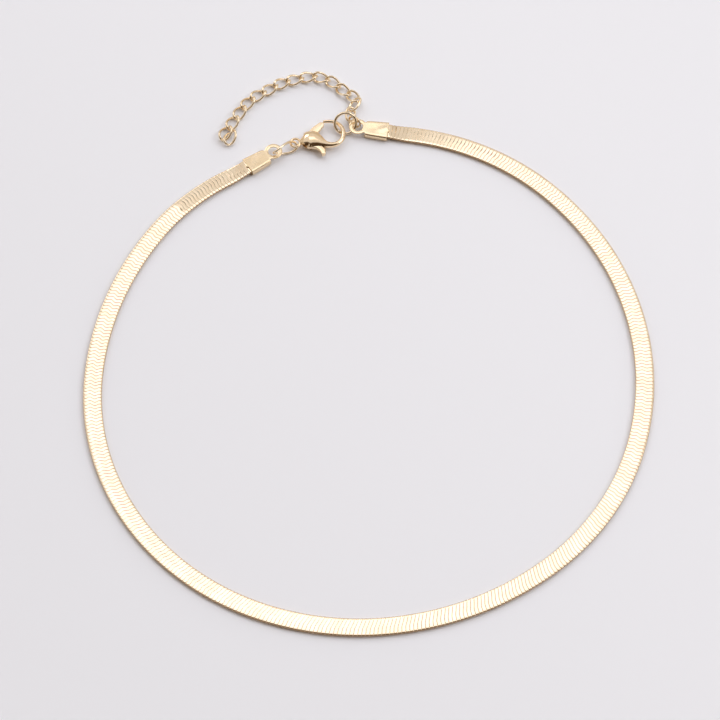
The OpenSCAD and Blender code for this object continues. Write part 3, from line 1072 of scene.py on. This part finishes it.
@dataclass
class WireLoops:
    """The small links of round wire: the extender's and the clasp's.

    Attributes:
        wire_radius: radius of the wire.
        wire_points: points round the wire.
        stations: points along a link.
        plain_sizes: half length and half width of each of the first links, which aren't twisted.
        curb_size: half length and half width of the others.
        curb_twist: their twist from the middle to each end, in degrees.
        oval_power: below 1, the oval is fuller at its corners than an ellipse.
        tangent_step: angle between a point and those that give its direction.
        poses: x, y, z, yaw, pitch and roll of each link of the extender, from the ring on.
        clasp_link_pose: the same of the clasp's link.
        clasp_link_size: its half length and half width.
        clasp_link_twist: its twist.
    """

    wire_radius: float = 0.272
    wire_points: int = 14
    stations: int = 56
    plain_sizes: tuple[tuple[float, float], ...] = ((1.6, 1.0), (1.8, 1.05), (1.83, 1.18))
    curb_size: tuple[float, float] = (1.9, 1.16)
    curb_twist: float = -48.0
    oval_power: float = 0.9
    tangent_step: float = 0.02
    poses: Rows = (
        (-3.1, 55.29, 1.16, 140.5, -13.3, 125.3), (-4, 57.27, 1.07, 81.9, 0.1, 24.6),
        (-3.07, 59.79, 1.15, 59, 7.2, -32.7), (-3.34, 61.86, 0.92, 131.4, -6.3, 2.3),
        (-5.58, 63.74, 0.74, 139.1, 0.4, -0.4), (-7.84, 65.76, 0.74, 142.1, -0.5, 0.2),
        (-10.47, 67.08, 0.74, 161.5, -0.5, 0.1), (-13.36, 67.33, 0.75, 189.4, -0.6, -0.2),
        (-16.33, 66.63, 0.74, 194.9, 0.1, 0.1), (-19.21, 65.68, 0.75, 204.8, -0.5, -0.5),
        (-21.87, 64.15, 0.75, 214.4, -0.2, -0.2), (-24.44, 62.55, 0.74, 213.8, 0, -0.1),
        (-26.7, 60.54, 0.74, 229.2, -0.6, -0.1), (-28.47, 58.03, 0.75, 240.3, -0.4, -1.4),
        (-30, 55.35, 0.74, 240.4, 0.1, -1.3), (-31.52, 52.65, 0.75, 241.1, 0, -1.2),
        (-30.46, 51.43, 0.81, 245.2, 1.2, 5.4))
    clasp_link_pose: tuple[float, ...] = (-18.24, 47.98, 1.62, 29.5, -13.7, -106.3)
    clasp_link_size: tuple[float, float] = (2.94, 1.34)
    clasp_link_twist: float = -44.1

    def fuller(self, value: float) -> float:
        """A sine or cosine drawn out, so that the oval is fuller at its ends."""
        return math.copysign(abs(value) ** self.oval_power, value)

    def oval_point(self, size: tuple[float, float], twist: float, angle: float) -> Vector:
        """Point of a link's middle line; the two ends are twisted opposite ways.

        Args:
            size: half length and half width.
            twist: twist from the middle to each end, in degrees.
            angle: where on the oval.

        Returns:
            The point.
        """
        wide = size[1] * self.fuller(math.sin(angle))
        turn = math.radians(twist) * math.cos(angle)
        return Vector((size[0] * self.fuller(math.cos(angle)), wide * math.cos(turn), wide * math.sin(turn)))

    @staticmethod
    def pose_matrix(pose: tuple[float, ...]) -> Matrix:
        """Works out where a link lies.

        Args:
            pose: x, y, z, yaw, pitch and roll.

        Returns:
            Matrix from the link's frame to the table's.
        """
        yaw, pitch, roll = (math.radians(a) for a in pose[3:])
        return (Matrix.Translation(pose[:3]) @ Matrix.Rotation(yaw, 4, "Z") @ Matrix.Rotation(-pitch, 4, "Y")
                @ Matrix.Rotation(roll, 4, "X"))

    def oval(self, size: tuple[float, float], twist: float) -> bmesh.types.BMesh:
        """An oval wire link round its own middle.

        Args:
            size: half length and half width.
            twist: twist from the middle to each end, in degrees.

        Returns:
            The shape.
        """
        rings = []
        for k in range(self.stations):
            angle = FULL_TURN * (k + 0.5) / self.stations
            before, point, after = (self.oval_point(size, twist, angle + step)
                                    for step in (-self.tangent_step, 0, self.tangent_step))
            along = (after - before).normalized()
            out = (point - along * point.dot(along)).normalized()
            up = along.cross(out)
            rings.append([point + self.wire_radius * (math.cos(a) * out + math.sin(a) * up)
                          for a in (FULL_TURN * s / self.wire_points for s in range(self.wire_points))])
        return loft(rings, closed=True)

    def build(self, workshop: Workshop) -> None:
        """Builds the extender's links and the clasp's link.

        Args:
            workshop: makes the pieces.
        """
        rows = []
        for number, pose in enumerate(self.poses, 1):
            plain = number <= len(self.plain_sizes)
            size, twist = (self.plain_sizes[number - 1], 0.0) if plain else (self.curb_size, self.curb_twist)
            rows.append((f"curb_wire_{number:02d}", f"extender_link_{number:02d}", size, twist, pose))
        rows.append(("clasp_link_wire", "clasp_link", self.clasp_link_size, self.clasp_link_twist,
                     self.clasp_link_pose))
        for name, node, size, twist, pose in rows:
            shape = self.oval(size, twist)
            bmesh.ops.transform(shape, matrix=self.pose_matrix(pose), verts=shape.verts)
            workshop.piece(shape, name, Slot.WIRE, [node], sharp=80)


@dataclass
class JumpRing:
    """The large ring of round wire, with the fine joint where its ends meet.

    Attributes:
        middle: its middle.
        tilt_x: its tilt about X, in degrees, taken before tilt_y.
        tilt_y: its tilt about Y, in degrees.
        radius: radius of the wire's middle line.
        wire_radius: radius of the wire.
        wire_points: points round the wire.
        stations: points along the ring.
        joint_angle: where the ends meet, in degrees.
        joint_depth: depth of the groove there.
    """

    middle: tuple[float, float, float] = (-5.11, 54.30, 2.02)
    tilt_x: float = 45.0
    tilt_y: float = 10.0
    radius: float = 2.35
    wire_radius: float = 0.325
    wire_points: int = 20
    stations: int = 96
    joint_angle: float = 250.0
    joint_depth: float = 0.035

    def build(self, workshop: Workshop) -> None:
        """Spins the wire round, then presses in the joint.

        Args:
            workshop: makes the piece.
        """
        shape = ring_of_wire(self.radius, self.wire_radius, self.wire_points, self.stations)
        step = FULL_TURN / self.stations
        joint = round(math.radians(self.joint_angle) / step) * step
        for vertex in shape.verts:
            angle = math.atan2(vertex.co.y, vertex.co.x) % FULL_TURN
            if abs(angle - joint) < step / 4:
                core = Vector((math.cos(angle), math.sin(angle), 0)) * self.radius
                vertex.co = core + (vertex.co - core) * (1 - self.joint_depth / self.wire_radius)
        place = (Matrix.Translation(self.middle) @ Matrix.Rotation(math.radians(self.tilt_y), 4, "Y")
                 @ Matrix.Rotation(math.radians(self.tilt_x), 4, "X"))
        bmesh.ops.transform(shape, matrix=place, verts=shape.verts)
        workshop.piece(shape, "jump_ring_wire", Slot.WIRE, ["jump_ring"], sharp=60)


@dataclass
class LobsterClasp:
    """The clasp: cast body with eye, slotted bulb and hook, and the stamped lever on its pin.

    The clasp's frame has its origin in the eye, X towards the hook and Z up from the table.

    Attributes:
        eye_at: the eye's middle on the table.
        turn: turn of the clasp about it, in degrees.
        level: height of the clasp's middle plane.
        eye_radius: radius of the eye's middle line.
        eye_wire: radius of the eye's wire.
        eye_points: points round the eye's wire, and along the eye.
        pin_at: the pin in the clasp's frame.
        lever_thickness: thickness of the lever.
        slot_gap: room between the lever and the slot on each side.
        hub_radius: radius of the lever's hub.
        hub_points: points round the room for the hub.
        slot_sectors: openings about the pin: from and to, in degrees, and reach.
        slot_step: largest angle between two points of a sector, in degrees.
        sides: points round the casting.
        steps: rings between two rows of the spine.
        spine: rows of the casting: x, y, half width, half height.
        spine_reach: distance, in rows, between a ring and those that give its direction.
        hub_arcs: the two free parts of the hub: from and to, in degrees, and steps.
        gate: corners of the gate arm.
        root: arc of the round root: from and to, in degrees, and radius.
        root_steps: steps of that arc.
        tab: corners of the thumb tab.
        edge_rounds: radius of the lever's edges at the gate and at the tab.
        edge_change: height in Y where the radius starts to change, and the stretch of the change.
        edge_angles: points round an edge, in degrees.
        outline_step: distance between points of the lever's outline, before it is softened.
        soft_rounds: how many times its corners are cut.
        soft_cut: share of each side that a cut takes off at each end.
        inward_reach: how many points on each side give the outline's direction.
    """

    eye_at: tuple[float, float] = (-16.10, 49.67)
    turn: float = 12.0
    level: float = 1.32
    eye_radius: float = 1.05
    eye_wire: float = 0.275
    eye_points: tuple[int, int] = (18, 56)
    pin_at: tuple[float, float] = (3.45, 0.35)
    lever_thickness: float = 1.0
    slot_gap: float = 0.1
    hub_radius: float = 1.05
    hub_points: int = 40
    slot_sectors: tuple[tuple[float, float, float], ...] = ((-10, 114, 4.2), (-144, -45, 4.2), (-172, -45, 1.8))
    slot_step: float = 8.0
    sides: int = 28
    steps: int = 4
    spine: Rows = (
        (1, 0.03, 0.42, 0.4), (1.42, 0, 0.88, 0.64), (2.1, -0.04, 1.64, 1.06), (2.95, 0.02, 2.26, 1.28),
        (3.9, -0.16, 2.32, 1.31), (4.9, -0.74, 1.84, 1.17), (5.8, -1.42, 1.2, 0.98), (6.75, -1.93, 0.76, 0.79),
        (7.9, -2.2, 0.6, 0.64), (9.1, -2.05, 0.55, 0.55), (10.15, -1.3, 0.52, 0.52), (10.75, -0.2, 0.5, 0.48),
        (10.9, 1.1, 0.47, 0.45), (10.6, 2.3, 0.44, 0.42), (9.95, 3.2, 0.42, 0.4), (9.05, 3.75, 0.4, 0.39),
        (8.05, 4, 0.38, 0.38), (7.3, 4.08, 0.34, 0.34), (7.05, 4.09, 0.2, 0.2))
    spine_reach: float = 0.1
    hub_arcs: tuple[tuple[float, float, int], ...] = ((-38, 4, 4), (132, 206, 7))
    gate: tuple[tuple[float, float], ...] = (
        (5.30, 1.38), (7.08, 3.04), (7.10, 3.50), (6.86, 3.80), (6.36, 3.88), (4.60, 3.00), (3.62, 2.24))
    root: tuple[float, float, float] = (-146, -118, 1.7)
    root_steps: int = 4
    tab: tuple[tuple[float, float], ...] = (
        (2.40, -1.42), (2.24, -1.74), (2.62, -1.98), (3.60, -2.24), (4.30, -2.62), (4.80, -3.36), (5.00, -4.04),
        (5.12, -4.42), (5.62, -4.48), (5.98, -4.22), (6.06, -3.45), (5.95, -2.80), (5.15, -1.60))
    edge_rounds: tuple[float, float] = (0.13, 0.21)
    edge_change: tuple[float, float] = (0.6, 1.6)
    edge_angles: tuple[float, ...] = (0, 25, 50, 75, 90)
    outline_step: float = 0.26
    soft_rounds: int = 2
    soft_cut: float = 0.25
    inward_reach: int = 5

    def matrix(self) -> Matrix:
        """Matrix from the clasp's frame to the table's."""
        return Matrix.Translation((*self.eye_at, self.level)) @ Matrix.Rotation(math.radians(self.turn), 4, "Z")

    def hook_and_bulb(self) -> bmesh.types.BMesh:
        """Neck, bulb and hook, lofted along the spine.

        Returns:
            The shape.
        """
        rings = []
        last = len(self.spine) - 1
        for k in range(last * self.steps + 1):
            u = k / self.steps
            row = curve_through(self.spine, u)
            before = curve_through(self.spine, max(0, u - self.spine_reach))
            after = curve_through(self.spine, min(last, u + self.spine_reach))
            along = Vector((after[0] - before[0], after[1] - before[1])).normalized()
            ring = []
            for s in range(self.sides):
                a = FULL_TURN * (s + 0.5) / self.sides
                wide, high = row[2] * math.cos(a), row[3] * math.sin(a)
                ring.append(Vector((row[0] - along.y * wide, row[1] + along.x * wide, high)))
            rings.append(ring)
        return loft(rings)

    @staticmethod
    def slab(outline: list[tuple[float, float]], thickness: float) -> bmesh.types.BMesh:
        """Gives a flat outline its thickness.

        Args:
            outline: corners of the outline.
            thickness: whole thickness, half of it on each side of the middle plane.

        Returns:
            The shape.
        """
        shape = bmesh.new()
        face = shape.faces.new([shape.verts.new((x, y, -thickness / 2)) for x, y in outline])
        made = bmesh.ops.extrude_face_region(shape, geom=[face])["geom"]
        bmesh.ops.translate(shape, vec=(0, 0, thickness), verts=[v for v in made if isinstance(v, bmesh.types.BMVert)])
        return shape

    def disc(self, radius: float, thickness: float) -> bmesh.types.BMesh:
        """Makes a disc about the pin.

        Args:
            radius: radius of the disc.
            thickness: whole thickness, half of it on each side of the middle plane.

        Returns:
            The shape.
        """
        shape = bmesh.new()
        bmesh.ops.create_cone(shape, cap_ends=True, segments=self.hub_points, radius1=radius, radius2=radius,
                              depth=thickness, matrix=Matrix.Translation((*self.pin_at, 0)))
        return shape

    def body(self, workshop: Workshop) -> None:
        """Builds the cast body.

        Args:
            workshop: makes the piece.
        """
        eye = ring_of_wire(self.eye_radius, self.eye_wire, *self.eye_points)
        shape = workshop.carve(self.hook_and_bulb(), eye, "UNION")
        opening = self.lever_thickness + 2 * self.slot_gap
        for start, end, reach in self.slot_sectors:
            fan = [self.pin_at] + self.around_pin(start, end, math.ceil((end - start) / self.slot_step), reach)
            shape = workshop.carve(shape, self.slab(fan, opening), "DIFFERENCE")
        shape = workshop.carve(shape, self.disc(self.hub_radius + self.slot_gap, opening), "DIFFERENCE")
        bmesh.ops.transform(shape, matrix=self.matrix(), verts=shape.verts)
        workshop.piece(shape, "clasp_casting", Slot.CAST, ["clasp_body"], sharp=35)

    def around_pin(self, start: float, end: float, steps: int, radius: float) -> list[tuple[float, float]]:
        """Points on an arc about the pin, from a start to an end in degrees."""
        angles = (math.radians(mixed(start, end, k / steps)) for k in range(steps + 1))
        return [(self.pin_at[0] + radius * math.cos(a), self.pin_at[1] + radius * math.sin(a)) for a in angles]

    def lever_outline(self) -> list[Vector]:
        """Outline of the lever: hub, gate arm, hub, round root and tab, with soft corners.

        Returns:
            Its points, once round.
        """
        front, back = (self.around_pin(*arc, self.hub_radius) for arc in self.hub_arcs)
        start, end, radius = self.root
        corners = [*front, *self.gate, *back, *self.around_pin(start, end, self.root_steps, radius), *self.tab]
        points: list[Vector] = []
        for a, b in zip(map(Vector, corners), map(Vector, corners[1:] + corners[:1])):
            steps = max(1, round((b - a).length / self.outline_step))
            points += [a.lerp(b, k / steps) for k in range(steps)]
        for _ in range(self.soft_rounds):
            pairs = list(zip(points, points[1:] + points[:1]))
            points = [a.lerp(b, share) for a, b in pairs for share in (self.soft_cut, 1 - self.soft_cut)]
        return points

    def lever(self, workshop: Workshop) -> None:
        """Builds the lever: its outline stacked in layers, which draw in towards top and bottom as a round edge.

        Args:
            workshop: makes the piece.
        """
        outline = self.lever_outline()
        count = len(outline)
        half = self.lever_thickness / 2
        change, stretch = self.edge_change
        inward, softness = [], []
        for k, point in enumerate(outline):
            along = (outline[(k + self.inward_reach) % count] - outline[k - self.inward_reach]).normalized()
            inward.append(Vector((-along.y, along.x)))
            softness.append(mixed(*self.edge_rounds, eased((change - point.y) / stretch)))
        upper = [(math.sin(a), 1 - math.cos(a)) for a in map(math.radians, self.edge_angles)]
        layers = [(-1, up, inset) for up, inset in reversed(upper)] + [(1, up, inset) for up, inset in upper]
        shape = loft([
            [Vector((*(p + n * soft * inset), sign * (half - soft * (1 - up))))
             for p, n, soft in zip(outline, inward, softness)]
            for sign, up, inset in layers])
        bmesh.ops.transform(shape, matrix=self.matrix(), verts=shape.verts)
        workshop.piece(shape, "clasp_gate", Slot.LEVER, ["clasp_lever"], body=Body.LEVER, sharp=50)

    def build(self, workshop: Workshop) -> None:
        """Builds body and lever, and dresses the hidden pin.

        Args:
            workshop: makes the pieces and has the finishes.
        """
        self.body(workshop)
        self.lever(workshop)
        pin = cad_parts["clasp_pin"]
        pin.data.materials.clear()
        pin.data.materials.append(workshop.finishes.by_slot[Slot.PIN])
        LOG.info("clasp_pin: kept, dressed in steel")


@dataclass
class Studio:
    """Pale table, soft studio light and camera.

    A direction into the room is given by north and east, its slopes off straight up towards +Y and +X, and by
    its height, from 0 at the horizon to 1 straight up.

    Attributes:
        camera_at: place of the camera, in metres.
        camera_tilt: angle of the view off straight down, in degrees.
        lens: focal length, in millimetres.
        sensor: width of the sensor, in millimetres.
        clip: nearest and furthest distance that the camera sees, in metres.
        table_half: half width of the table, in metres.
        table_drop: how far the table lies below the pieces, in metres.
        table_colour: its colour on the upper right.
        table_shade: share of that colour on the lower left, as painted shade.
        table_slant: share of Y that is added to X; the sum places the change of colour.
        table_change: the sums where the colour starts and ends to change, in metres.
        table_roughness: roughness of the table.
        table_sheen: its specular level.
        room: light from above.
        walls: light from the sides.
        wall_change: heights between which the walls go over into the room.
        softbox: light of the soft box.
        box_patch: its spans of north, east and height.
        window: light of the two windows.
        left_window: the left one's spans of north and east.
        right_window: the right one's spans of north and east.
        patch_soft: half the soft stretch at the low and at the high end of a span.
        horizon: height below which no window shows.
        dark: what little light comes from the camera's side.
        dark_north: where the dark side begins, and where it is full.
        dark_east: how far to the side it ends, and where it is full.
        dark_height: heights over which it begins.
        panel_at: place of the lamp, in metres; it points at the middle of the table.
        panel_size: its size, in metres.
        panel_power: its power, in watts.
        panel_colour: its colour.
    """

    camera_at: tuple[float, float, float] = (-0.0019, -0.36438, 0.650)
    camera_tilt: float = 29.0
    lens: float = 175.0
    sensor: float = 36.0
    clip: Span = (0.05, 20.0)
    table_half: float = 6.0
    table_drop: float = 0.00002
    table_colour: Colour = (0.905, 0.895, 0.93)
    table_shade: float = 0.93
    table_slant: float = 0.8
    table_change: Span = (-0.16, 0.12)
    table_roughness: float = 0.6
    table_sheen: float = 0.2
    room: Colour = (0.77, 0.73, 0.71)
    walls: Colour = (0.60, 0.53, 0.45)
    wall_change: Span = (0.62, 0.28)
    softbox: Colour = (1.62, 1.62, 1.66)
    box_patch: tuple[Span, Span, Span] = ((0.27, 0.695), (-0.23, 0.22), (0.1, 1.2))
    window: Colour = (2.7, 2.7, 2.75)
    left_window: tuple[Span, Span] = ((0.82, 1.55), (-1.25, -0.35))
    right_window: tuple[Span, Span] = ((-0.35, 0.35), (0.60, 1.50))
    patch_soft: Span = (0.04, 0.03)
    horizon: float = 0.02
    dark: Colour = (0.07, 0.042, 0.024)
    dark_north: Span = (-0.10, -0.35)
    dark_east: Span = (2.4, 1.2)
    dark_height: Span = (0.0, 0.12)
    panel_at: tuple[float, float, float] = (0.75, 0.9, 1.35)
    panel_size: float = 3.0
    panel_power: float = 21.5
    panel_colour: Colour = (0.86, 0.94, 1.0)

    def camera(self) -> None:
        """Places the camera at the photograph's viewing angle."""
        data = bpy.data.cameras.new("camera")
        data.lens = self.lens
        data.sensor_width = self.sensor
        data.clip_start, data.clip_end = self.clip
        made = bpy.data.objects.new("camera", data)
        made.location = self.camera_at
        made.rotation_euler = (math.radians(self.camera_tilt), 0, 0)
        bpy.context.scene.collection.objects.link(made)
        bpy.context.scene.camera = made

    def table(self) -> None:
        """Builds the pale table, with a soft fall of light painted into its colour: darker towards the lower left."""
        shape = bmesh.new()
        bmesh.ops.create_grid(shape, x_segments=4, y_segments=4, size=self.table_half)
        bmesh.ops.translate(shape, vec=(0, 0, -self.table_drop), verts=shape.verts)
        mesh = bpy.data.meshes.new("table")
        shape.to_mesh(mesh)
        shape.free()
        made = bpy.data.objects.new("table", mesh)
        bpy.context.scene.collection.objects.link(made)
        paint = bpy.data.materials.new("pale table")
        paint.use_nodes = True
        nodes = Nodes(paint.node_tree)
        shader = paint.node_tree.nodes["Principled BSDF"]
        shader.inputs["Roughness"].default_value = self.table_roughness
        shader.inputs["Specular IOR Level"].default_value = self.table_sheen
        where = nodes.add("SeparateXYZ", Vector=nodes.add("TexCoord").outputs["Object"])
        diagonal = nodes.math("MULTIPLY_ADD", where.outputs["Y"], self.table_slant, where.outputs["X"])
        shaded = tuple(channel * self.table_shade for channel in self.table_colour)
        # painted fall of light: the table's colour is darker towards the lower left
        tone = nodes.mix(nodes.smooth_range(diagonal, *self.table_change), shaded, self.table_colour)
        nodes.link(tone, shader.inputs["Base Color"])
        mesh.materials.append(paint)

    def patch(self, nodes: Nodes, values: tuple[Socket, ...], spans: tuple[Span, ...]) -> Socket:
        """Masks a bright patch of the room, with soft sides.

        Args:
            nodes: the world's nodes.
            values: the direction's north, east and height.
            spans: span of the patch in each of them; the height may be left out.

        Returns:
            The mask.
        """
        below, above = self.patch_soft
        mask: Socket | float = 1.0
        for value, (low, high) in zip(values, spans):
            mask = nodes.math("MULTIPLY", mask, nodes.smooth_range(value, low - below, low + below))
            mask = nodes.math("MULTIPLY", mask, nodes.smooth_range(value, high + above, high - above))
        return mask

    def surroundings(self) -> None:
        """Builds the pale room with its soft box and windows, dark on the camera's side."""
        world = bpy.data.worlds.new("studio")
        bpy.context.scene.world = world
        world.use_nodes = True
        nodes = Nodes(world.node_tree)
        sky = world.node_tree.nodes["Background"]
        x, y, height = nodes.add("SeparateXYZ", Vector=nodes.add("TexCoord").outputs["Generated"]).outputs
        up = nodes.math("MAXIMUM", height, self.horizon)
        north = nodes.math("DIVIDE", y, up)
        east = nodes.math("DIVIDE", x, up)
        box, left, right = (self.patch(nodes, (north, east, height), spans)
                            for spans in (self.box_patch, self.left_window, self.right_window))
        windows = nodes.math("MULTIPLY", nodes.math("MAXIMUM", left, right),
                             nodes.math("GREATER_THAN", height, self.horizon))
        south = nodes.smooth_range(north, *self.dark_north)
        aside = nodes.smooth_range(nodes.math("ABSOLUTE", east), *self.dark_east)
        shade = nodes.math("MULTIPLY", nodes.math("MULTIPLY", south, aside),
                           nodes.smooth_range(height, *self.dark_height))
        light = nodes.mix(nodes.smooth_range(height, *self.wall_change), self.room, self.walls)
        for mask, colour in ((shade, self.dark), (windows, self.window), (box, self.softbox)):
            light = nodes.mix(mask, light, colour)
        nodes.link(light, sky.inputs["Color"])
        sky.inputs["Strength"].default_value = 1.0

    def panel(self) -> None:
        """Hangs the large soft lamp over the upper right, out of the gold's reflections."""
        lamp = bpy.data.lights.new("upper right panel", "AREA")
        lamp.energy = self.panel_power
        lamp.size = self.panel_size
        lamp.color = self.panel_colour
        made = bpy.data.objects.new("upper right panel", lamp)
        made.location = self.panel_at
        made.rotation_euler = (-made.location).to_track_quat("-Z", "Y").to_euler()
        made.visible_glossy = False
        bpy.context.scene.collection.objects.link(made)

    def build(self) -> None:
        """Sets up camera, table and light, and shows colours as they are."""
        self.camera()
        self.table()
        self.surroundings()
        self.panel()
        view = bpy.context.scene.view_settings
        view.view_transform = "Standard"
        view.look = "None"


def main() -> None:
    """Builds the studio, then the necklace's sub-assemblies in order."""
    logging.basicConfig(level=logging.INFO, format="%(name)s: %(message)s")
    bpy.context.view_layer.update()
    Studio().build()
    workshop = Workshop(Finishes())
    route = NeckRoute()
    SnakeBand().build(workshop, route)
    cap = EndCap()
    cap.build(workshop, "crimp_left", route.left_mouth, CapMarks((2.4, -0.2), 0.03, 1.4), lean=-4.8)
    cap.build(workshop, "crimp_right", route.right_mouth, CapMarks((3.4, 0.0), 0.04, 1.2, crease=0.06), lean=0.8)
    LobsterClasp().build(workshop)
    JumpRing().build(workshop)
    WireLoops().build(workshop)
    bpy.context.view_layer.update()


if __name__ == "__main__":
    main()
